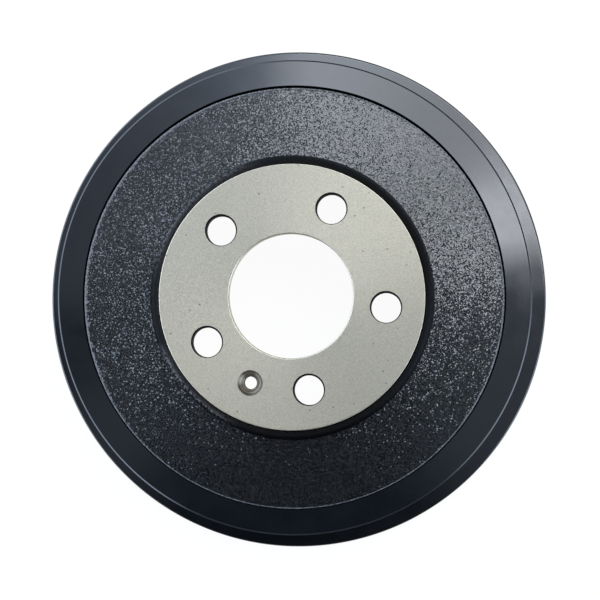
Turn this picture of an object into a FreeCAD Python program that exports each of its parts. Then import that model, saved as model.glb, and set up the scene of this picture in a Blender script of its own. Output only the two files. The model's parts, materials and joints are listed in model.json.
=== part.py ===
import FreeCAD, Part
import math
import os

# Rear brake drum: one grey iron casting, turned on its working faces and drilled at the hub.
# Millimetres and degrees. The wheel axis is +Z, the open edge lies at z = 0 and the hub face looks up.
# The retaining screw's hole lies on -Y, and a stud hole on +Y.

# Friction ring
friction_radius = 115.0
wall_thickness = 11.3
entry_chamfer = 2.0
relief_depth = 0.6
relief_width = 2.0

# Shoulder: the turned band between the wall and the cast web
shoulder_height = 41.8
shoulder_chamfer = 1.0
shoulder_slope = 10.0

# Cast web, which stands proud of the turned shoulder by its skin
web_radius = 111.3
web_slope = 15.5
web_thickness = 6.0
skin_height = 1.0
skin_edge_run = 1.1

# Raised hub
overall_height = 66.0
hub_radius = 70.0
hub_thickness = 8.0
hub_draft = 9.0
hub_edge_chamfer = 0.4
hub_foot_fillet = 3.5

# Recess behind the hub, for the flange of the axle's hub
seat_radius = 62.0
seat_draft = 6.0
seat_edge_chamfer = 1.5
seat_foot_fillet = 6.0

# Flange round the open edge
flange_radius = 135.0
flange_thickness = 8.0
flange_slope = 8.0
flange_foot_chamfer = 1.5
flange_edge_chamfer = 1.0

# Groove in the open edge, in which the rim of the backing plate runs against water
groove_land = 6.0
groove_width = 6.0
groove_depth = 5.0
groove_floor_chamfer = 1.2
groove_edge_chamfer = 0.5

# Holes in the hub
bore_radius = 32.5
bore_chamfer = 1.0
stud_circle_radius = 50.0
stud_count = 5
stud_hole_radius = 7.75
stud_hole_chamfer = 0.6
screw_hole_radius = 3.3
screw_head_radius = 6.7
screw_head_angle = 90.0

# Cutters run past the faces they cut by this much
overrun = 1.0

# Places that follow from the sizes above
wall_radius = friction_radius + wall_thickness
seat_height = overall_height - hub_thickness
skin_foot_radius = web_radius + skin_edge_run


def rise(run, slope):
    """Height gained over a horizontal run on a slope in degrees."""
    return run * math.tan(math.radians(slope))


def shoulder_z(radius):
    """Height of the turned shoulder band at a radius."""
    return shoulder_height + rise(wall_radius - radius, shoulder_slope)


def flange_z(radius):
    """Height of the flange's front face at a radius."""
    return flange_thickness + rise(flange_radius - radius, flange_slope)


def web_top_z(radius):
    """Height of the web's outer face at a radius."""
    return shoulder_z(skin_foot_radius) + skin_height + rise(web_radius - radius, web_slope)


def web_under_z(radius):
    """Height of the web's inner face at a radius."""
    return web_top_z(radius) - web_thickness / math.cos(math.radians(web_slope))


def foot_of_wall(top_radius, top_z, draft, face_z):
    """Where a drafted wall that comes down from (top_radius, top_z) meets the web face given by face_z."""
    drop = (top_z - face_z(top_radius)) / (1.0 - rise(1.0, draft) * rise(1.0, web_slope))
    radius = top_radius + rise(drop, draft)
    return radius, face_z(radius)


def sharp(radius, z):
    """Corner of the section that stays sharp."""
    return radius, z, 0.0, False


def bevelled(radius, z, leg):
    """Corner of the section with a bevel that takes the same leg off both sides."""
    return radius, z, leg, False


def rounded(radius, z, fillet):
    """Corner of the section with a fillet."""
    return radius, z, fillet, True


def at(radius, z):
    """Point of the section, in the XZ plane."""
    return FreeCAD.Vector(radius, 0.0, z)


def section(corners):
    """Closed face in the XZ plane through the corners, each with its bevel or fillet."""
    points = [at(radius, z) for radius, z, _, _ in corners]
    starts = []
    ends = []
    turns = []
    for i, (_, _, size, is_round) in enumerate(corners):
        here = points[i]
        back = (points[i - 1] - here).normalize()
        ahead = (points[(i + 1) % len(points)] - here).normalize()
        half = back.getAngle(ahead) / 2.0
        reach = size / math.tan(half) if is_round else size
        starts.append(here + back * reach)
        ends.append(here + ahead * reach)
        if is_round:
            middle = here + (back + ahead).normalize() * (size / math.sin(half) - size)
            turns.append(Part.Arc(starts[i], middle, ends[i]).toShape())
        elif size > 0.0:
            turns.append(Part.LineSegment(starts[i], ends[i]).toShape())
        else:
            turns.append(None)
    edges = []
    for i, turn in enumerate(turns):
        if turn is not None:
            edges.append(turn)
        edges.append(Part.LineSegment(ends[i], starts[(i + 1) % len(points)]).toShape())
    return Part.Face(Part.Wire(edges))


def turned(face):
    """Solid of a section turned about the wheel axis."""
    return face.revolve(at(0.0, 0.0), FreeCAD.Vector(0.0, 0.0, 1.0), 360.0)


def hub_corners():
    """Hub face and its drafted wall, from the bore outwards, down to the web."""
    foot_radius, foot_z = foot_of_wall(hub_radius, overall_height, hub_draft, web_top_z)
    return [
        bevelled(bore_radius, overall_height, bore_chamfer),
        bevelled(hub_radius, overall_height, hub_edge_chamfer),
        rounded(foot_radius, foot_z, hub_foot_fillet),
    ]


def shoulder_corners():
    """Edge of the cast web, the turned shoulder below it and the wall's front corner."""
    return [
        sharp(web_radius, web_top_z(web_radius)),
        sharp(skin_foot_radius, shoulder_z(skin_foot_radius)),
        bevelled(wall_radius, shoulder_height, shoulder_chamfer),
    ]


def flange_corners():
    """Foot of the wall, flange and the grooved open edge, back in to the friction surface."""
    groove_inner = friction_radius + groove_land
    groove_outer = groove_inner + groove_width
    return [
        bevelled(wall_radius, flange_z(wall_radius), flange_foot_chamfer),
        bevelled(flange_radius, flange_thickness, flange_edge_chamfer),
        bevelled(flange_radius, 0.0, flange_edge_chamfer),
        bevelled(groove_outer, 0.0, groove_edge_chamfer),
        bevelled(groove_outer, groove_depth, groove_floor_chamfer),
        bevelled(groove_inner, groove_depth, groove_floor_chamfer),
        bevelled(groove_inner, 0.0, groove_edge_chamfer),
        bevelled(friction_radius, 0.0, entry_chamfer),
    ]


def inside_corners():
    """Relief at the end of the friction surface, the web's inner face and the hub's seat, back to the bore."""
    relief_radius = friction_radius + relief_depth
    relief_top = web_under_z(relief_radius)
    foot_radius, foot_z = foot_of_wall(seat_radius, seat_height, seat_draft, web_under_z)
    return [
        sharp(friction_radius, relief_top - relief_width - relief_depth),
        sharp(relief_radius, relief_top - relief_width),
        sharp(relief_radius, relief_top),
        rounded(foot_radius, foot_z, seat_foot_fillet),
        bevelled(seat_radius, seat_height, seat_edge_chamfer),
        bevelled(bore_radius, seat_height, bore_chamfer),
    ]


def hub_hole(outline, angle):
    """Cutter for a hole on the stud circle, from (radius, height over the seat) points of its half section."""
    points = [at(radius, z) for radius, z in outline]
    cutter = turned(Part.Face(Part.makePolygon(points + points[:1])))
    bearing = math.radians(angle)
    x = stud_circle_radius * math.cos(bearing)
    y = stud_circle_radius * math.sin(bearing)
    cutter.translate(FreeCAD.Vector(x, y, seat_height))
    return cutter


def stud_hole(angle):
    """Through hole for a wheel bolt, with a small chamfer at the hub face."""
    outline = [
        (0.0, -overrun),
        (stud_hole_radius, -overrun),
        (stud_hole_radius, hub_thickness - stud_hole_chamfer),
        (stud_hole_radius + stud_hole_chamfer + overrun, hub_thickness + overrun),
        (0.0, hub_thickness + overrun),
    ]
    return hub_hole(outline, angle)


def screw_hole(angle):
    """Through hole of the retaining screw, countersunk for its head."""
    half_angle = screw_head_angle / 2.0
    head_depth = (screw_head_radius - screw_hole_radius) / rise(1.0, half_angle)
    outline = [
        (0.0, -overrun),
        (screw_hole_radius, -overrun),
        (screw_hole_radius, hub_thickness - head_depth),
        (screw_head_radius + rise(overrun, half_angle), hub_thickness + overrun),
        (0.0, hub_thickness + overrun),
    ]
    return hub_hole(outline, angle)


def brake_drum():
    """The turned casting with its stud holes and screw hole."""
    casting = turned(section(hub_corners() + shoulder_corners() + flange_corners() + inside_corners()))
    first_stud = 90.0
    studs = [stud_hole(first_stud + 360.0 / stud_count * i) for i in range(stud_count)]
    return casting.cut(studs + [screw_hole(first_stud - 180.0)])


os.makedirs("parts", exist_ok=True)
drum = brake_drum()
if len(drum.Solids) != 1 or not drum.isValid():
    raise ValueError("the drum is not one valid solid")
drum.Solids[0].exportStep("parts/brake_drum.step")
print("volume in cubic centimetres", round(drum.Volume / 1000.0, 1))
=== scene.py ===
import json
import math
from collections import namedtuple

import bpy
import numpy as np
from mathutils import Matrix, Vector, geometry, noise


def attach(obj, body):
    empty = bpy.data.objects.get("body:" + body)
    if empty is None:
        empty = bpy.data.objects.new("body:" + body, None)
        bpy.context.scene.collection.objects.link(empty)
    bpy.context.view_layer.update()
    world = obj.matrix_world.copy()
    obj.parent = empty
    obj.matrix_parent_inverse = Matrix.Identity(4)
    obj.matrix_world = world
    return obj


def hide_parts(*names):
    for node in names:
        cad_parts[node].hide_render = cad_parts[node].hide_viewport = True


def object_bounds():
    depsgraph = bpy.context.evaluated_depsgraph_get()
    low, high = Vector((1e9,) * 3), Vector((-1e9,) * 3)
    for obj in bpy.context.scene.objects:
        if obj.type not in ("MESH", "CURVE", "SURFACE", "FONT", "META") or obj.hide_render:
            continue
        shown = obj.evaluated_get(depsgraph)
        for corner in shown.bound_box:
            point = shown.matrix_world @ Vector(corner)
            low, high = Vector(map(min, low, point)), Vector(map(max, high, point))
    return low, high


# The brake drum in metres and degrees, wheel axis +Z, resting on its open edge at z = 0.
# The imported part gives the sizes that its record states. The others repeat the part's own values, apart from
# some edges and the hub's outline, which are taken closer from the photograph; their comments say so.
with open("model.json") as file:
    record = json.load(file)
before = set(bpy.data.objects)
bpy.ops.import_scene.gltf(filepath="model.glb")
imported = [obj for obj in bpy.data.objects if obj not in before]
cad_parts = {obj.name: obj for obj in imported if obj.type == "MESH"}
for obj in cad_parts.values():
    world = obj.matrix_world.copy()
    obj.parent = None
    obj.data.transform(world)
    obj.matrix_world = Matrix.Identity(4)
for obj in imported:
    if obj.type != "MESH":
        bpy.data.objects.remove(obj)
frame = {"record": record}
cad_low, cad_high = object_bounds()
mounts = {mount["name"]: mount for mount in frame["record"]["mounts"]}
mm = 0.001

# Friction ring
friction_radius = mounts["friction_surface"]["dims"]["r_mm"] * mm
wall_thickness = 11.3 * mm
wall_radius = friction_radius + wall_thickness
entry_chamfer = 2.0 * mm
relief_depth = 0.6 * mm
relief_width = 2.0 * mm

# Shoulder: the turned band between the wall and the cast web
shoulder_height = 41.8 * mm
shoulder_slope = 10.0

# Bevel at the wall's front corner, taken closer from the photograph
lip_radius = 125.6 * mm
lip_drop = 0.52 * mm

# Cast web, which stands proud of the turned shoulder by its skin
web_radius = 111.3 * mm
web_slope = 15.5
web_thickness = 6.0 * mm
skin_height = 1.0 * mm
skin_edge_run = 1.1 * mm
skin_foot_radius = web_radius + skin_edge_run

# Edge of the cast skin as it looks close up: a rounded rim over a narrow crevice, which the part leaves out
rim_start = 110.5 * mm
rim_start_bevel = 0.5 * mm
rim_radius = 111.5 * mm
rim_slope = 32.0
rim_rounding = 0.3 * mm
crevice_inner = 111.70 * mm
crevice_outer = 112.45 * mm
crevice_lean = 0.1 * mm
crevice_depth = 1.6 * mm
crevice_bevel = 0.08 * mm

# How far the cast faces and the hub's edge sit off the turned axis, towards the photograph's right and top
cast_right = 0.0 * mm
cast_up = -0.48 * mm
hub_edge_right = 0.45 * mm
hub_edge_up = -0.52 * mm

# Raised hub, its radius, draft, edge and fillet taken closer from the photograph
overall_height = cad_high.z
hub_radius = 69.5 * mm
hub_draft = 13.6
hub_edge_chamfer = 0.25 * mm
hub_foot_fillet = 5.3 * mm

# How far down from its edge the hub's wall is painted in shade, with a black coat that hardly reflects
hub_shade = 3.2 * mm

# Recess behind the hub
seat_height = mounts["hub_seat"]["pos_m"][2]
seat_radius = 62.0 * mm
seat_draft = 6.0
seat_edge_chamfer = 1.5 * mm
seat_foot_fillet = 6.0 * mm

# Flange round the open edge
flange_radius = cad_high.x
flange_thickness = 8.0 * mm
flange_slope = 8.0
flange_foot_chamfer = 1.5 * mm
flange_edge_chamfer = 1.0 * mm

# Groove in the open edge
groove_land = 6.0 * mm
groove_width = 6.0 * mm
groove_inner = friction_radius + groove_land
groove_outer = groove_inner + groove_width
groove_depth = 5.0 * mm
groove_floor_chamfer = 1.2 * mm
groove_edge_chamfer = 0.5 * mm

# Holes in the hub. The bore's edge at the hub face and the stud holes' chamfers are taken closer from the
# photograph.
# The stud holes' dark chamfers are shifted a little towards the photograph's top, so that they are wider there
# as painted shade.
bore_radius = mounts["centre_bore"]["dims"]["r_mm"] * mm
bore_chamfer = 1.0 * mm
bore_edge = 0.5 * mm
stud_circle_radius = mounts["stud_holes"]["dims"]["pcd_mm"] * mm / 2.0
stud_count = mounts["stud_holes"]["dims"]["count"]
stud_hole_radius = mounts["stud_holes"]["dims"]["hole_r_mm"] * mm
stud_hole_chamfer = 0.7 * mm
stud_rim_shade_shift = 0.32 * mm
first_stud = 90.0
screw_hole_radius = mounts["screw_hole"]["dims"]["r_mm"] * mm
screw_head_radius = 6.7 * mm
screw_head_angle = 90.0

# Rows of faces between two corners: many on the cast web, and three on a turned face between two roundings,
# of which the outer two are narrow, so that the face is shaded flat
web_rows = 46
web_under_rows = 16
seat_wall_rows = 5
flat_rows = 3
narrow_row = 0.3 * mm

# Steps on a fillet and segments round each kind of ring
fillet_steps = 6
skin_segments = 960
turned_segments = 480
bore_segments = 240
stud_segments = 96
screw_segments = 64

# Relief of the cast skin that moves the mesh: pebbles, lumps and swells of the sand mould
pebble_size = 0.75 * mm
pebble_height = 0.04 * mm
lump_size = 1.7 * mm
lump_height = 0.03 * mm
swell_size = 9.0 * mm
swell_height = 0.04 * mm

# How much of that relief the rim of the skin and the fillet behind the hub take
rim_relief = 0.6
seat_foot_relief = 0.3

# Finer relief in the coat of the cast skin. Each facet has a least slope and by chance up to so much more,
# and the slopes are multiplied by a gain that changes from one radius to another.
facet_size = 0.58 * mm
facet_least_slope = 0.09
facet_more_slope = 0.64
facet_slope_power = 1.5
facet_inner_radius = 76.0 * mm
facet_inner_gain = 1.2
facet_outer_radius = 104.0 * mm
facet_outer_gain = 0.85

# Domes fall off with the square of the distance. Pits have their floor and their edge at a share of their
# spacing and are wider in clusters. The fall and the depth are in millimetres.
dome_size = 1.35 * mm
dome_fall = 0.06
pit_spacing = 1.1 * mm
pit_floor = 0.04
pit_edge = 0.19
pit_depth = 0.03
cluster_size = 5.0 * mm
cluster_widening = 0.08

# Surfaces, in the order of the piece's material slots
COAT, SKIN, FACE, HOLE, TURNED, CONE, WALL, SHADE, RIM, FOOT = range(10)

# A corner of the section. Its size is a fillet's radius, or else the leg that it takes off both sides. It has
# no steps if it is sharp, one on a bevel and more on a rounding. Its own surface lies on the corner, and the
# one ahead runs up to the next corner, or is None where a flat face with holes follows.
Corner = namedtuple("Corner", "radius z size steps own ahead rows segments fillet centre",
                    defaults=(False, (0.0, 0.0)))
Ring = namedtuple("Ring", "radius z segments own crisp relief centre")
Hole = namedtuple("Hole", "centre rim_centre radius rim_radius rim_depth segments rim_surface")


def rise(run, slope):
    """Height gained over a horizontal run on a slope in degrees."""
    return run * math.tan(math.radians(slope))


def shoulder_z(radius):
    """Height of the turned shoulder band at a radius."""
    return shoulder_height + rise(wall_radius - radius, shoulder_slope)


def flange_z(radius):
    """Height of the flange's front face at a radius."""
    return flange_thickness + rise(flange_radius - radius, flange_slope)


def web_top_z(radius):
    """Height of the web's outer face at a radius."""
    return shoulder_z(skin_foot_radius) + skin_height + rise(web_radius - radius, web_slope)


def web_under_z(radius):
    """Height of the web's inner face at a radius."""
    return web_top_z(radius) - web_thickness / math.cos(math.radians(web_slope))


def foot_of_wall(top_radius, top_z, draft, face_z):
    """Where a drafted wall that comes down from (top_radius, top_z) meets the web face given by face_z."""
    drop = (top_z - face_z(top_radius)) / (1.0 - rise(1.0, draft) * rise(1.0, web_slope))
    radius = top_radius + rise(drop, draft)
    return radius, face_z(radius)


def off_axis(right, up):
    """Centre for rings that sit off the turned axis, from its place in the photograph's directions."""
    return tuple((image_turn() @ Vector((right, up, 0.0))).xy)


def hub_corners():
    """Hub face and its drafted wall, from the bore outwards, down to the web."""
    shade_radius = hub_radius + rise(hub_shade, hub_draft)
    foot_radius, foot_z = foot_of_wall(hub_radius, overall_height, hub_draft, web_top_z)
    edge_centre = off_axis(hub_edge_right, hub_edge_up)
    cast_centre = off_axis(cast_right, cast_up)
    ring = turned_segments
    return [
        Corner(bore_radius, overall_height, bore_edge, 2, FACE, None, 0, bore_segments),
        Corner(hub_radius, overall_height, hub_edge_chamfer, 2, FACE, SHADE, 1, ring, centre=edge_centre),
        Corner(shade_radius, overall_height - hub_shade, 0.0, 0, SHADE, WALL, 2, ring, centre=edge_centre),
        Corner(foot_radius, foot_z, hub_foot_fillet, fillet_steps, FOOT, SKIN, web_rows, ring, True,
               cast_centre),
    ]


def skin_edge_corners():
    """Rim of the cast skin and the inner side of the crevice behind it."""
    rim_start_z = web_top_z(rim_start)
    rim_z = rim_start_z - rise(rim_radius - rim_start, rim_slope)
    centre = off_axis(cast_right, cast_up)
    ring = turned_segments
    return [
        Corner(rim_start, rim_start_z, rim_start_bevel, 1, SKIN, RIM, 1, skin_segments, centre=centre),
        Corner(rim_radius, rim_z, rim_rounding, 4, RIM, SKIN, 1, ring, centre=centre),
        Corner(crevice_inner, crevice_floor_z(), 0.0, 0, SKIN, SHADE, 1, ring, centre=centre),
    ]


def crevice_floor_z():
    """Height of the crevice's floor."""
    return shoulder_z(crevice_outer) - crevice_depth


def shoulder_corners():
    """Outer side of the crevice, the turned shoulder and the wall's front corner."""
    lip_z = shoulder_z(lip_radius)
    ring = turned_segments
    return [
        Corner(crevice_outer - crevice_lean, crevice_floor_z(), 0.0, 0, SHADE, SHADE, 1, ring),
        Corner(crevice_outer, shoulder_z(crevice_outer), crevice_bevel, 1, COAT, COAT, flat_rows, ring),
        Corner(lip_radius, lip_z, 0.0, 0, COAT, COAT, 1, ring),
        Corner(wall_radius, lip_z - lip_drop, 0.0, 0, COAT, COAT, flat_rows, ring),
    ]


def flange_corners():
    """Foot of the wall, flange and the grooved open edge, back in to the friction surface."""
    edge = flange_edge_chamfer
    lip = groove_edge_chamfer
    floor = groove_floor_chamfer
    ring = turned_segments
    return [
        Corner(wall_radius, flange_z(wall_radius), flange_foot_chamfer, 4, COAT, COAT, flat_rows, ring),
        Corner(flange_radius, flange_thickness, edge, 3, COAT, COAT, flat_rows, ring),
        Corner(flange_radius, 0.0, edge, 3, COAT, COAT, 1, ring),
        Corner(groove_outer, 0.0, lip, 1, COAT, COAT, 1, ring),
        Corner(groove_outer, groove_depth, floor, 3, COAT, COAT, 1, ring),
        Corner(groove_inner, groove_depth, floor, 3, COAT, COAT, 1, ring),
        Corner(groove_inner, 0.0, lip, 1, COAT, COAT, 1, ring),
        Corner(friction_radius, 0.0, entry_chamfer, 1, TURNED, TURNED, flat_rows, ring),
    ]


def inside_corners():
    """Relief beside the friction surface, the web's inner face and the hub's seat, back to the bore."""
    relief_radius = friction_radius + relief_depth
    relief_top = web_under_z(relief_radius)
    relief_foot = relief_top - relief_width
    foot_radius, foot_z = foot_of_wall(seat_radius, seat_height, seat_draft, web_under_z)
    ring = turned_segments
    return [
        Corner(friction_radius, relief_foot - relief_depth, 0.0, 0, TURNED, TURNED, 1, ring),
        Corner(relief_radius, relief_foot, 0.0, 0, TURNED, TURNED, 1, ring),
        Corner(relief_radius, relief_top, 0.0, 0, SKIN, SKIN, web_under_rows, ring),
        Corner(foot_radius, foot_z, seat_foot_fillet, fillet_steps, SKIN, SKIN, seat_wall_rows, ring, True),
        Corner(seat_radius, seat_height, seat_edge_chamfer, 3, TURNED, None, 0, ring),
        Corner(bore_radius, seat_height, bore_chamfer, 1, FACE, FACE, 1, bore_segments),
    ]


def corner_points(back, corner, ahead):
    """Points of the section round a corner: one if it is sharp, two on a bevel and more on a rounding."""
    here = Vector((corner.radius, corner.z))
    to_back = (Vector((back.radius, back.z)) - here).normalized()
    to_ahead = (Vector((ahead.radius, ahead.z)) - here).normalized()
    if corner.steps == 0:
        return [here]
    half = to_back.angle(to_ahead) / 2.0
    reach = corner.size / math.tan(half) if corner.fillet else corner.size
    start = here + to_back * reach
    end = here + to_ahead * reach
    if corner.steps == 1:
        return [start, end]
    radius = reach * math.tan(half)
    centre = here + (to_back + to_ahead).normalized() * (radius / math.sin(half))
    turn = math.pi - 2.0 * half
    first = start - centre
    side = 1.0 if first.x * (end - centre).y > first.y * (end - centre).x else -1.0
    points = []
    for step in range(corner.steps + 1):
        points.append(centre + Matrix.Rotation(side * turn * step / corner.steps, 2) @ first)
    return points


def is_crisp(back, corner, step):
    """Whether the shading breaks at a step of a corner: at a sharp edge or bevel, and beside a flat face."""
    is_first = step == 0
    is_last = step == corner.steps
    if (is_first or is_last) and corner.steps < 2 and corner.own != SKIN:
        return True
    return (is_last and corner.ahead is None) or (is_first and back.ahead is None)


def relief_share(corner, step):
    """How much of the cast skin's relief a step of a corner takes."""
    if RIM in (corner.own, corner.ahead):
        return rim_relief
    if corner.own == FOOT:
        return step / corner.steps
    if corner.own == SKIN and corner.fillet:
        return seat_foot_relief
    return 0.0


def row_shares(corner, length):
    """Shares of the length to the next corner at which the rings between the two lie."""
    if corner.rows == flat_rows and corner.ahead != SKIN:
        return [narrow_row / length, 1.0 - narrow_row / length]
    return [row / corner.rows for row in range(1, corner.rows)]


def section_rings():
    """Every ring of the drum, in order round its section, with None where a flat face is filled in."""
    corners = hub_corners() + skin_edge_corners() + shoulder_corners() + flange_corners() + inside_corners()
    around = list(zip(corners[-1:] + corners[:-1], corners, corners[1:] + corners[:1]))
    rounds = [corner_points(back, corner, ahead) for back, corner, ahead in around]
    rings = []
    for i, (back, corner, ahead) in enumerate(around):
        points = rounds[i]
        for step, point in enumerate(points):
            own = corner.own if step < len(points) - 1 else corner.ahead
            rings.append(Ring(point.x, point.y, corner.segments, own, is_crisp(back, corner, step),
                              relief_share(corner, step), corner.centre))
        if corner.ahead is None:
            rings.append(None)
            continue
        end = rounds[(i + 1) % len(corners)][0]
        segments = max(corner.segments, ahead.segments)
        relief = 1.0 if corner.ahead == SKIN else 0.0
        for share in row_shares(corner, (end - points[-1]).length):
            place = points[-1].lerp(end, share)
            rings.append(Ring(place.x, place.y, segments, corner.ahead, False, relief, corner.centre))
    return rings


def cast_skin(place):
    """How far the cast skin stands out at a place."""
    pebbles = pebble_height * noise.noise(place / pebble_size)
    lumps = lump_height * noise.noise(place / lump_size)
    return pebbles + lumps + swell_height * noise.noise(place / swell_size)


class Shell:
    """The drum's surface as it is put together from rings. A vertex has a crisp number, which is the same all
    round a ring at which the shading breaks, and -1 elsewhere."""

    def __init__(self):
        self.points = []
        self.crisp = []
        self.faces = []
        self.surfaces = []

    def ring(self, radius, z, segments, crisp, centre):
        """Vertices evenly round a circle. Gives their numbers."""
        first = len(self.points)
        for k in range(segments):
            turn = 2.0 * math.pi * k / segments
            x = centre[0] + radius * math.cos(turn)
            y = centre[1] + radius * math.sin(turn)
            self.points.append(Vector((x, y, z)))
            self.crisp.append(first if crisp else -1)
        return list(range(first, first + segments))

    def row(self, inner, outer, surface):
        """Faces between two rings, the second of which may have as many, half or twice the vertices."""
        if len(inner) == len(outer):
            for k in range(len(inner)):
                n = (k + 1) % len(inner)
                self.faces.append((inner[k], outer[k], outer[n], inner[n]))
                self.surfaces.append(surface)
        elif len(inner) > len(outer):
            for k in range(len(outer)):
                n = (k + 1) % len(outer)
                near, mid, far = inner[2 * k], inner[2 * k + 1], inner[2 * n]
                self.faces += [(near, outer[k], mid), (mid, outer[k], outer[n]), (mid, outer[n], far)]
                self.surfaces += [surface] * 3
        else:
            for k in range(len(inner)):
                n = (k + 1) % len(inner)
                near, mid, far = outer[2 * k], outer[2 * k + 1], outer[2 * n]
                self.faces += [(inner[k], near, mid), (inner[k], mid, inner[n]), (inner[n], mid, far)]
                self.surfaces += [surface] * 3

    def plane(self, loops, voids, surface, upwards):
        """A flat face inside the first loop of vertices and outside the voids, each (centre, radius)."""
        numbers = [number for loop in loops for number in loop]
        flat = [self.points[number].to_2d() for number in numbers]
        edges = []
        start = 0
        for loop in loops:
            edges += [(start + k, start + (k + 1) % len(loop)) for k in range(len(loop))]
            start += len(loop)
        same_point = 0.0001 * mm
        places, _, triangles, sources, _, _ = geometry.delaunay_2d_cdt(flat, edges, [], 0, same_point)
        for triangle in triangles:
            corners = [places[k] for k in triangle]
            middle = sum(corners, Vector((0.0, 0.0))) / 3.0
            if any((middle - Vector(centre)).length < radius for centre, radius in voids):
                continue
            face = [numbers[sources[k][0]] for k in triangle]
            if not upwards:
                face.reverse()
            self.faces.append(tuple(face))
            self.surfaces.append(surface)


def hub_holes():
    """The stud holes, each with its chamfer, and the countersunk screw hole."""
    holes = []
    # The rims move towards the top, which widens the dark chamfer there as painted shade
    lift = image_turn() @ Vector((0.0, stud_rim_shade_shift, 0.0))
    rim_radius = stud_hole_radius + stud_hole_chamfer
    for k in range(stud_count):
        bearing = math.radians(first_stud + 360.0 / stud_count * k)
        x = stud_circle_radius * math.cos(bearing)
        y = stud_circle_radius * math.sin(bearing)
        holes.append(Hole((x, y), (x + lift.x, y + lift.y), stud_hole_radius, rim_radius, stud_hole_chamfer,
                          stud_segments, HOLE))
    centre = tuple(mounts["screw_hole"]["pos_m"][:2])
    depth = (screw_head_radius - screw_hole_radius) / rise(1.0, screw_head_angle / 2.0)
    holes.append(Hole(centre, centre, screw_hole_radius, screw_head_radius, depth, screw_segments, CONE))
    return holes


def build_shell():
    """All faces of the drum, as one closed shell."""
    shell = Shell()
    rings = section_rings()
    made = []
    for ring in rings:
        if ring is None:
            made.append(None)
        else:
            made.append(shell.ring(ring.radius, ring.z, ring.segments, ring.crisp, ring.centre))
    for i, ring in enumerate(rings):
        ahead = (i + 1) % len(rings)
        if ring is not None and rings[ahead] is not None:
            shell.row(made[i], made[ahead], ring.own)
    roughen(shell, rings, made)
    seat_loops = []
    seat_voids = [((0.0, 0.0), bore_radius + bore_chamfer)]
    face_loops = []
    face_voids = [((0.0, 0.0), bore_radius + bore_edge)]
    for hole in hub_holes():
        foot = shell.ring(hole.radius, seat_height, hole.segments, True, hole.centre)
        neck = shell.ring(hole.radius, overall_height - hole.rim_depth, hole.segments, True, hole.centre)
        rim = shell.ring(hole.rim_radius, overall_height, hole.segments, True, hole.rim_centre)
        shell.row(foot, neck, HOLE)
        shell.row(neck, rim, hole.rim_surface)
        seat_loops.append(foot)
        seat_voids.append((hole.centre, hole.radius))
        face_loops.append(rim)
        face_voids.append((hole.rim_centre, hole.rim_radius))
    face, seat = [i for i, ring in enumerate(rings) if ring is None]
    shell.plane([made[face + 1], made[face - 1]] + face_loops, face_voids, FACE, True)
    shell.plane([made[seat - 1], made[seat + 1]] + seat_loops, seat_voids, TURNED, False)
    return shell


def roughen(shell, rings, made):
    """Moves the vertices of the cast surfaces out and in by the relief of the cast skin."""
    for i, ring in enumerate(rings):
        if ring is None or ring.relief == 0.0:
            continue
        back = rings[i - 1]
        ahead = rings[(i + 1) % len(rings)]
        along = Vector((ahead.radius - back.radius, ahead.z - back.z)).normalized()
        for number in made[i]:
            point = shell.points[number]
            outwards = point.to_2d().normalized()
            height = cast_skin(point) * ring.relief
            shift = Vector((outwards.x * -along.y, outwards.y * -along.y, along.x)) * height
            shell.points[number] = point + shift


def drum_piece():
    """The drum as one object, with a material slot for each kind of surface."""
    shell = build_shell()
    mesh = bpy.data.meshes.new("drum")
    mesh.from_pydata([tuple(point) for point in shell.points], [], shell.faces)
    mesh.polygons.foreach_set("material_index", shell.surfaces)
    mesh.shade_smooth()
    ends = np.zeros(len(mesh.edges) * 2, dtype=np.int32)
    mesh.edges.foreach_get("vertices", ends)
    crisp = np.array(shell.crisp)[ends.reshape(-1, 2)]
    along_ring = (crisp[:, 0] >= 0) & (crisp[:, 0] == crisp[:, 1])
    mesh.edges.foreach_set("use_edge_sharp", along_ring)
    mesh.validate()
    mesh.update()
    drum = bpy.data.objects.new("drum", mesh)
    bpy.context.scene.collection.objects.link(drum)
    for material in (coat_turned(), coat_cast(), iron_face(), hole_wall(), iron_turned(), iron_cone(),
                     coat_wall(), coat_shade(), coat_rim(), coat_foot_painted_glints()):
        mesh.materials.append(material)
    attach(drum, "root")
    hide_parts("brake_drum")
    return drum


def add(tree, kind, inputs=None, **settings):
    """A node with its settings; an input takes a number, a colour or another node's output."""
    made = tree.nodes.new(kind)
    for name, value in settings.items():
        setattr(made, name, value)
    for name, value in (inputs or {}).items():
        if isinstance(value, bpy.types.NodeSocket):
            tree.links.new(value, made.inputs[name])
        else:
            made.inputs[name].default_value = value
    return made


def maths(tree, operation, *values):
    """Result of an operation on numbers or outputs."""
    return add(tree, "ShaderNodeMath", dict(enumerate(values)), operation=operation).outputs[0]


def vector_maths(tree, operation, *values):
    """Node for an operation on directions or outputs."""
    return add(tree, "ShaderNodeVectorMath", dict(enumerate(values)), operation=operation)


def between(tree, value, low, high, out_low=0.0, out_high=1.0):
    """A value carried from one range to another, smooth at both ends."""
    inputs = {"Value": value, "From Min": low, "From Max": high, "To Min": out_low, "To Max": out_high}
    return add(tree, "ShaderNodeMapRange", inputs, interpolation_type="SMOOTHSTEP").outputs["Result"]


def blend(tree, share, first, second):
    """A colour between two others."""
    made = add(tree, "ShaderNodeMix", {0: share}, data_type="RGBA")
    first_colour, second_colour = made.inputs[6], made.inputs[7]
    for socket, value in ((first_colour, first), (second_colour, second)):
        if isinstance(value, bpy.types.NodeSocket):
            tree.links.new(value, socket)
        else:
            socket.default_value = value
    return made.outputs[2]


def new_material(name, **numbers):
    """A material with its shader and the numbers that are the same all over."""
    material = bpy.data.materials.new(name)
    material.use_nodes = True
    tree = material.node_tree
    shader = tree.nodes["Principled BSDF"]
    for socket, value in numbers.items():
        shader.inputs[socket.replace("_", " ")].default_value = value
    place = add(tree, "ShaderNodeTexCoord").outputs["Object"]
    return material, tree, shader, place


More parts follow.
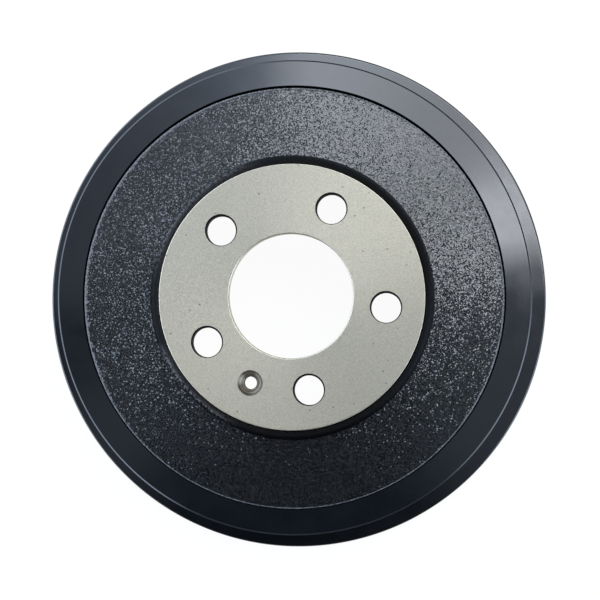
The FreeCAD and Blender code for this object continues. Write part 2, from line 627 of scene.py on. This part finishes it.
def speckle(tree, place, size, detail=2.0):
    """Noise between 0 and 1 with grains of about a size in metres."""
    inputs = {"Vector": place, "Scale": 1.0 / size, "Detail": detail}
    return add(tree, "ShaderNodeTexNoise", inputs).outputs[0]


def cells(tree, place, size):
    """Outputs of a pattern of irregular cells with a size in metres."""
    return add(tree, "ShaderNodeTexVoronoi", {"Vector": place, "Scale": 1.0 / size}).outputs


def turning(tree, place, pitch):
    """Noise in rings about the axis x = y = 0, along the radius on faces and along the axis on walls."""
    x, y, z = add(tree, "ShaderNodeSeparateXYZ", {0: place}).outputs
    squares = maths(tree, "ADD", maths(tree, "MULTIPLY", x, x), maths(tree, "MULTIPLY", y, y))
    along = maths(tree, "ADD", maths(tree, "SQRT", squares), z)
    inputs = {"W": along, "Scale": 0.5 / pitch, "Detail": 3.0}
    return add(tree, "ShaderNodeTexNoise", inputs, noise_dimensions="1D").outputs[0]


def bump(tree, shader, height, distance):
    """Fine relief on a shader, its height given in parts of a distance in metres."""
    made = add(tree, "ShaderNodeBump", {"Height": height, "Distance": distance, "Strength": 1.0})
    tree.links.new(made.outputs[0], shader.inputs["Normal"])


def coat_turned():
    """Satin black coat over turned iron."""
    material, tree, shader, place = new_material("coat_turned", IOR=1.6)
    marks = turning(tree, place, 0.5 * mm)
    cloud = speckle(tree, place, 12.0 * mm)
    colour = blend(tree, cloud, (0.003, 0.0037, 0.005, 1.0), (0.004, 0.005, 0.007, 1.0))
    tree.links.new(colour, shader.inputs["Base Color"])
    tree.links.new(between(tree, cloud, 0.3, 0.7, 0.15, 0.19), shader.inputs["Roughness"])
    bump(tree, shader, marks, 0.01 * mm)
    return material


def facet_height(tree, place):
    """Height in millimetres of small flat facets, each tilted its own way and steeper towards the hub."""
    cell = cells(tree, place, facet_size)
    reach = vector_maths(tree, "SUBTRACT", place, cell["Position"]).outputs["Vector"]
    tilt = vector_maths(tree, "SUBTRACT", cell["Color"], (0.5, 0.5, 0.0)).outputs["Vector"]
    flatwise = vector_maths(tree, "MULTIPLY", tilt, (1.0, 1.0, 0.0)).outputs["Vector"]
    slope = vector_maths(tree, "DOT_PRODUCT", reach, flatwise).outputs["Value"]
    chance = add(tree, "ShaderNodeSeparateXYZ", {0: cell["Color"]}).outputs["Z"]
    more = maths(tree, "MULTIPLY", maths(tree, "POWER", chance, facet_slope_power), facet_more_slope)
    steepness = maths(tree, "ADD", more, facet_least_slope)
    across = vector_maths(tree, "MULTIPLY", place, (1.0, 1.0, 0.0)).outputs["Vector"]
    radius = vector_maths(tree, "LENGTH", across).outputs["Value"]
    gain = between(tree, radius, facet_inner_radius, facet_outer_radius, facet_inner_gain, facet_outer_gain)
    steepness = maths(tree, "MULTIPLY", steepness, gain)
    return maths(tree, "MULTIPLY", maths(tree, "MULTIPLY", slope, steepness), 1.0 / mm)


def coat_cast():
    """The same coat over the pebbled cast skin: faceted and slightly domed, with painted shade in its pits,
    where it is darker and a dull black metallic coat.
    """
    material, tree, shader, place = new_material("coat_cast", IOR=1.6)
    from_dome = cells(tree, place, dome_size)["Distance"]
    dome = maths(tree, "MULTIPLY", maths(tree, "MULTIPLY", from_dome, from_dome), -dome_fall)
    from_pit = cells(tree, place, pit_spacing)["Distance"]
    widening = maths(tree, "MULTIPLY", speckle(tree, place, cluster_size, 1.0), cluster_widening)
    clear = between(tree, maths(tree, "SUBTRACT", from_pit, widening), pit_floor, pit_edge)
    rise_from_pit = maths(tree, "MULTIPLY", clear, pit_depth)
    height = maths(tree, "ADD", maths(tree, "ADD", rise_from_pit, facet_height(tree, place)), dome)
    # Painted shade in the pits: a darker colour and a black metallic coat that hardly reflects
    colour = blend(tree, clear, (0.001, 0.001, 0.0015, 1.0), (0.0015, 0.0018, 0.0025, 1.0))
    tree.links.new(colour, shader.inputs["Base Color"])
    tree.links.new(between(tree, clear, 0.0, 1.0, 1.0, 0.0), shader.inputs["Metallic"])
    tree.links.new(between(tree, clear, 0.0, 1.0, 0.35, 0.11), shader.inputs["Roughness"])
    bump(tree, shader, height, 1.0 * mm)
    return material


def coat_wall():
    """The coat on the hub's wall, duller than on the web."""
    material, tree, shader, place = new_material("coat_wall", IOR=1.26)
    grain = speckle(tree, place, 1.2 * mm)
    colour = blend(tree, grain, (0.001, 0.0011, 0.0014, 1.0), (0.004, 0.0045, 0.006, 1.0))
    tree.links.new(colour, shader.inputs["Base Color"])
    tree.links.new(between(tree, grain, 0.3, 0.7, 0.24, 0.4), shader.inputs["Roughness"])
    bump(tree, shader, grain, 0.35 * mm)
    return material


def coat_rim():
    """The rim of the cast skin, where the coat is worn thin in spots."""
    material, tree, shader, place = new_material("coat_rim", IOR=1.5)
    spots = speckle(tree, place, 0.9 * mm, 1.0)
    worn = between(tree, spots, 0.35, 0.65)
    colour = blend(tree, worn, (0.02, 0.022, 0.026, 1.0), (0.13, 0.138, 0.15, 1.0))
    tree.links.new(colour, shader.inputs["Base Color"])
    tree.links.new(between(tree, worn, 0.0, 1.0, 0.35, 0.55), shader.inputs["Roughness"])
    bump(tree, shader, spots, 0.2 * mm)
    return material


def in_photograph(tree, directions):
    """Directions turned from the part's to the photograph's, so that azimuths count from its right."""
    return add(tree, "ShaderNodeVectorRotate", {"Vector": directions, "Angle": -math.radians(roll)},
               rotation_type="Z_AXIS").outputs[0]


def azimuth_share(azimuth):
    """What a radial gradient gives at an azimuth in degrees."""
    return (azimuth / 360.0 + 0.5) % 1.0


def stretch_round(tree, around, azimuth, near, far, most):
    """A share round an azimuth, the most within the near angle on both sides and none past the far one."""
    away = maths(tree, "ABSOLUTE", maths(tree, "SUBTRACT", around, azimuth_share(azimuth)))
    return between(tree, away, near / 360.0, far / 360.0, most, 0.0)


def coat_foot_painted_glints():
    """The coat in the fillet at the hub's foot, shiny only on two stretches at the photograph's left, where
    glints fall in this
    light: a painted highlight, though the lamps make the glints. Elsewhere a dull black metallic coat keeps
    the fillet dark as painted shade. Each stretch has its azimuth, the angles either side at which the gloss
    starts to fade and is gone, and its share."""
    material, tree, shader, place = new_material("coat_foot_painted_glints", IOR=1.5)
    turned = in_photograph(tree, place)
    around = add(tree, "ShaderNodeTexGradient", {0: turned}, gradient_type="RADIAL").outputs["Fac"]
    upper = stretch_round(tree, around, 138.0, 17.0, 38.0, 0.75)
    lower = stretch_round(tree, around, 223.0, 14.0, 26.0, 1.0)
    grain = speckle(tree, place, 1.3 * mm, 1.0)
    # Gloss only on the stretches where glints fall is painted highlight; the dull black metallic coat
    # elsewhere is painted shade
    glossy = maths(tree, "MULTIPLY", maths(tree, "ADD", upper, lower), between(tree, grain, 0.3, 0.55))
    colour = blend(tree, glossy, (0.008, 0.0085, 0.0095, 1.0), (0.002, 0.0023, 0.003, 1.0))
    tree.links.new(colour, shader.inputs["Base Color"])
    tree.links.new(maths(tree, "SUBTRACT", 1.0, glossy), shader.inputs["Metallic"])
    tree.links.new(between(tree, glossy, 0.0, 1.0, 0.45, 0.2), shader.inputs["Roughness"])
    bump(tree, shader, grain, 0.25 * mm)
    return material


def coat_shade():
    """Painted shade: a black coat that hardly reflects, in the crevice and under the hub's edge."""
    material, tree, shader, place = new_material("coat_shade", IOR=1.06, Specular_IOR_Level=0.0)
    grain = speckle(tree, place, 1.0 * mm)
    colour = blend(tree, grain, (0.0005, 0.0005, 0.0005, 1.0), (0.003, 0.003, 0.0035, 1.0))
    tree.links.new(colour, shader.inputs["Base Color"])
    tree.links.new(between(tree, grain, 0.3, 0.7, 0.6, 0.8), shader.inputs["Roughness"])
    return material


def painted_shade_along(tree, place, colour, way, start, end, first, last):
    """Painted shade: a colour darkened along a direction of the photograph, by a first share up to the start
    and a last one from the end."""
    along = vector_maths(tree, "DOT_PRODUCT", place, tuple(image_turn() @ Vector(way))).outputs["Value"]
    return blend(tree, between(tree, along, start, end, first, last), colour, (0.0, 0.0, 0.0, 1.0))


def iron_face():
    """Bare iron of the hub face, turned fine, with a few specks and painted shade towards two sides."""
    material, tree, shader, place = new_material("iron_face", Metallic=1.0, Anisotropic=0.4,
                                                 Anisotropic_Rotation=0.25)
    round_axis = add(tree, "ShaderNodeTangent", direction_type="RADIAL", axis="Z")
    tree.links.new(round_axis.outputs[0], shader.inputs["Tangent"])
    marks = turning(tree, place, 0.4 * mm)
    mottle = speckle(tree, place, 0.7 * mm, 1.0)
    colour = blend(tree, mottle, (0.38, 0.352, 0.285, 1.0), (0.655, 0.615, 0.5, 1.0))
    # Painted shade: the face darker towards the photograph's bottom and towards its top right
    colour = painted_shade_along(tree, place, colour, (-0.2, 0.98, 0.0), -75.0 * mm, 60.0 * mm, 0.17, 0.0)
    colour = painted_shade_along(tree, place, colour, (0.6, 0.8, 0.0), -10.0 * mm, 66.0 * mm, 0.0, 0.17)
    speck_spacing = 6.5 * mm
    from_speck = cells(tree, place, speck_spacing)["Distance"]
    colour = blend(tree, between(tree, from_speck, 0.04, 0.10), (0.2, 0.19, 0.16, 1.0), colour)
    tree.links.new(colour, shader.inputs["Base Color"])
    tree.links.new(between(tree, mottle, 0.3, 0.7, 0.36, 0.41), shader.inputs["Roughness"])
    bump(tree, shader, marks, 0.01 * mm)
    return material


def hole_wall():
    """Dull dark walls of the drilled holes, and the chamfers of the stud holes."""
    material, tree, shader, place = new_material("hole_wall", IOR=1.2)
    grain = speckle(tree, place, 1.0 * mm)
    colour = blend(tree, grain, (0.002, 0.002, 0.002, 1.0), (0.008, 0.008, 0.009, 1.0))
    tree.links.new(colour, shader.inputs["Base Color"])
    tree.links.new(between(tree, grain, 0.3, 0.7, 0.7, 0.85), shader.inputs["Roughness"])
    return material


def iron_turned():
    """Bare turned iron of the friction surface and the hub seat."""
    material, tree, shader, place = new_material("iron_turned", Metallic=1.0)
    marks = turning(tree, place, 0.6 * mm)
    mottle = speckle(tree, place, 3.0 * mm)
    colour = blend(tree, mottle, (0.36, 0.37, 0.37, 1.0), (0.46, 0.47, 0.47, 1.0))
    tree.links.new(colour, shader.inputs["Base Color"])
    tree.links.new(between(tree, marks, 0.3, 0.7, 0.32, 0.42), shader.inputs["Roughness"])
    bump(tree, shader, marks, 0.02 * mm)
    return material


def iron_cone():
    """Darkened iron of the countersink, with the rings that its tool left."""
    material, tree, shader, place = new_material("iron_cone", Metallic=1.0)
    x, y = mounts["screw_hole"]["pos_m"][:2]
    from_hole = vector_maths(tree, "SUBTRACT", place, (x, y, overall_height)).outputs["Vector"]
    marks = turning(tree, from_hole, 1.1 * mm)
    colour = blend(tree, between(tree, marks, 0.35, 0.65), (0.12, 0.108, 0.085, 1.0), (0.33, 0.3, 0.24, 1.0))
    tree.links.new(colour, shader.inputs["Base Color"])
    tree.links.new(between(tree, marks, 0.3, 0.7, 0.28, 0.4), shader.inputs["Roughness"])
    bump(tree, shader, marks, 0.08 * mm)
    return material


# Camera: looks down the axis, tilted and turned as in the photograph. The axis falls beside the middle of the
# photograph by the offsets, which are in its pixels like the focal length.
camera_distance = 1280.3 * mm
camera_lens = 139.89
camera_sensor = 36.0
tilt_right = 3.416
tilt_up = -1.368
roll = 25.094
offset_right = -1.633
offset_up = 0.927
focal_pixels = 2331.46

# Ceiling panels: how high they hang in metres, and for each its name, its left, right, low and high sides as
# slopes from the drum in the photograph's directions, and its radiance
panel_height = 3.0
panel_tint = (0.94, 0.98, 1.04)
panels = [
    ("key_panel", 0.25, 1.3, 0.118, 0.28, 8.8),
    ("middle_panel", -0.10, 1.3, 0.28, 0.62, 3.2),
    ("far_panel", -0.10, 1.3, 0.62, 1.35, 6.0),
]

# Studio: brightness of its walls and of the two bands below them, each by azimuth in degrees anticlockwise
# from the photograph's right
studio_tint = (0.83, 0.98, 1.2)
wall_light = [(0.0, 0.35), (60.0, 0.65), (95.0, 2.5), (108.0, 2.2), (122.0, 1.15), (155.0, 0.68),
              (184.0, 0.07), (210.0, 0.52), (232.0, 0.02), (292.0, 0.02), (320.0, 0.48), (345.0, 0.5)]
upper_light = [(0.0, 2.5), (12.0, 0.15), (88.0, 0.15), (112.0, 2.6), (140.0, 5.5), (165.0, 4.9), (186.0, 5.4),
               (200.0, 6.0), (213.0, 1.2), (223.0, 0.0), (314.0, 0.0), (330.0, 5.2), (345.0, 5.8)]
lower_light = [(0.0, 2.0), (12.0, 0.15), (88.0, 0.15), (112.0, 2.6), (150.0, 3.5), (230.0, 3.8), (242.0, 0.4),
               (304.0, 0.4), (320.0, 3.0), (345.0, 3.6)]

# Where one part of the studio passes into the next, from the horizon up, as the sine of the elevation
horizon_top = (0.05, 0.11)
lower_top = (0.26, 0.34)
upper_top = (0.54, 0.62)
dim_wall_top = (0.85, 0.92)
dim_wall_share = 0.6
wall_top = (math.cos(math.radians(16.0)), math.cos(math.radians(8.0)))
overhead_light = (0.5, 0.5, 0.5, 1.0)


def image_turn():
    """Turn about +Z from the photograph's own right, up and towards-camera directions to the part's."""
    return Matrix.Rotation(math.radians(roll), 3, "Z")


def add_camera():
    """The camera at the photograph's place."""
    across = math.radians(tilt_right)
    upwards = math.radians(tilt_up)
    level = math.cos(upwards)
    back = Vector((math.sin(across) * level, math.sin(upwards), math.cos(across) * level))
    right = Vector((0.0, 1.0, 0.0)).cross(back).normalized()
    up = back.cross(right)
    shift = camera_distance / focal_pixels
    place = back * camera_distance - right * (offset_right * shift) - up * (offset_up * shift)
    turn = image_turn()
    axes = Matrix((turn @ right, turn @ up, turn @ back)).transposed()
    data = bpy.data.cameras.new("camera")
    data.lens = camera_lens
    data.sensor_width = camera_sensor
    data.clip_start = 0.05
    data.clip_end = 50.0
    camera = bpy.data.objects.new("camera", data)
    camera.matrix_world = Matrix.Translation(turn @ place) @ axes.to_4x4()
    bpy.context.scene.collection.objects.link(camera)
    bpy.context.scene.camera = camera


def add_panel(name, left, right, low, high, radiance):
    """A soft light overhead that faces down, its sides given as slopes from the drum."""
    data = bpy.data.lights.new(name, "AREA")
    data.shape = "RECTANGLE"
    data.size = (right - left) * panel_height
    data.size_y = (high - low) * panel_height
    data.energy = radiance * math.pi * data.size * data.size_y
    data.color = panel_tint
    lamp = bpy.data.objects.new(name, data)
    middle = Vector((left + right, low + high, 2.0)) * (panel_height / 2.0)
    turn = image_turn()
    lamp.matrix_world = Matrix.Translation(turn @ middle) @ turn.to_4x4()
    bpy.context.scene.collection.objects.link(lamp)


def light_round(tree, around, stops):
    """Light that changes with the azimuth, from its (azimuth, brightness) stops."""
    made = add(tree, "ShaderNodeValToRGB", {0: around})
    ramp = made.color_ramp
    ramp.interpolation = "EASE"
    red, green, blue = studio_tint
    for azimuth, light in stops:
        stop = ramp.elements.new(azimuth_share(azimuth))
        stop.color = (light * red, light * green, light * blue, 1.0)
    # The ramp's own two ends are no stops, so they go
    ramp.elements.remove(ramp.elements[0])
    ramp.elements.remove(ramp.elements[-1])
    return made.outputs[0]


def add_world():
    """A pale studio: white round the horizon, then the two bands, the walls and the dim ceiling."""
    world = bpy.data.worlds.new("studio")
    bpy.context.scene.world = world
    world.use_nodes = True
    tree = world.node_tree
    facing = in_photograph(tree, add(tree, "ShaderNodeTexCoord").outputs["Generated"])
    height = add(tree, "ShaderNodeSeparateXYZ", {0: facing}).outputs["Z"]
    around = add(tree, "ShaderNodeTexGradient", {0: facing}, gradient_type="RADIAL").outputs["Fac"]
    walls = blend(tree, between(tree, height, *dim_wall_top, dim_wall_share, 1.0), (0.0, 0.0, 0.0, 1.0),
                  light_round(tree, around, wall_light))
    upper = light_round(tree, around, upper_light)
    lower = light_round(tree, around, lower_light)
    bands = blend(tree, between(tree, height, *lower_top), lower, upper)
    above = blend(tree, between(tree, height, *wall_top), walls, overhead_light)
    colour = blend(tree, between(tree, height, *upper_top), bands, above)
    colour = blend(tree, between(tree, height, *horizon_top), (1.0, 1.0, 1.0, 1.0), colour)
    tree.links.new(colour, tree.nodes["Background"].inputs["Color"])


def add_floor():
    """Floor just under the drum, white with a faint shadow to the camera and plain to the light."""
    mesh = bpy.data.meshes.new("floor")
    reach = 12.0
    low = -0.1 * mm
    corners = [(-reach, -reach, low), (reach, -reach, low), (reach, reach, low), (-reach, reach, low)]
    mesh.from_pydata(corners, [], [(0, 1, 2, 3)])
    floor = bpy.data.objects.new("floor", mesh)
    bpy.context.scene.collection.objects.link(floor)
    material = bpy.data.materials.new("floor")
    material.use_nodes = True
    tree = material.node_tree
    tree.nodes.remove(tree.nodes["Principled BSDF"])
    rays = add(tree, "ShaderNodeLightPath")
    seen = maths(tree, "MAXIMUM", rays.outputs["Is Camera Ray"], rays.outputs["Is Glossy Ray"])
    seen = maths(tree, "MAXIMUM", seen, rays.outputs["Is Transmission Ray"])
    glow = add(tree, "ShaderNodeEmission", {"Strength": 0.95})
    faint = add(tree, "ShaderNodeBsdfDiffuse", {"Color": (0.06, 0.06, 0.06, 1.0)})
    both = add(tree, "ShaderNodeAddShader", {0: glow.outputs[0], 1: faint.outputs[0]})
    plain = add(tree, "ShaderNodeBsdfDiffuse", {"Color": (0.8, 0.8, 0.8, 1.0)})
    mixed = add(tree, "ShaderNodeMixShader", {0: seen, 1: plain.outputs[0], 2: both.outputs[0]})
    tree.links.new(mixed.outputs[0], tree.nodes["Material Output"].inputs["Surface"])
    mesh.materials.append(material)


drum_piece()
add_camera()
for panel in panels:
    add_panel(*panel)
add_world()
add_floor()
bpy.context.scene.view_settings.view_transform = "Standard"
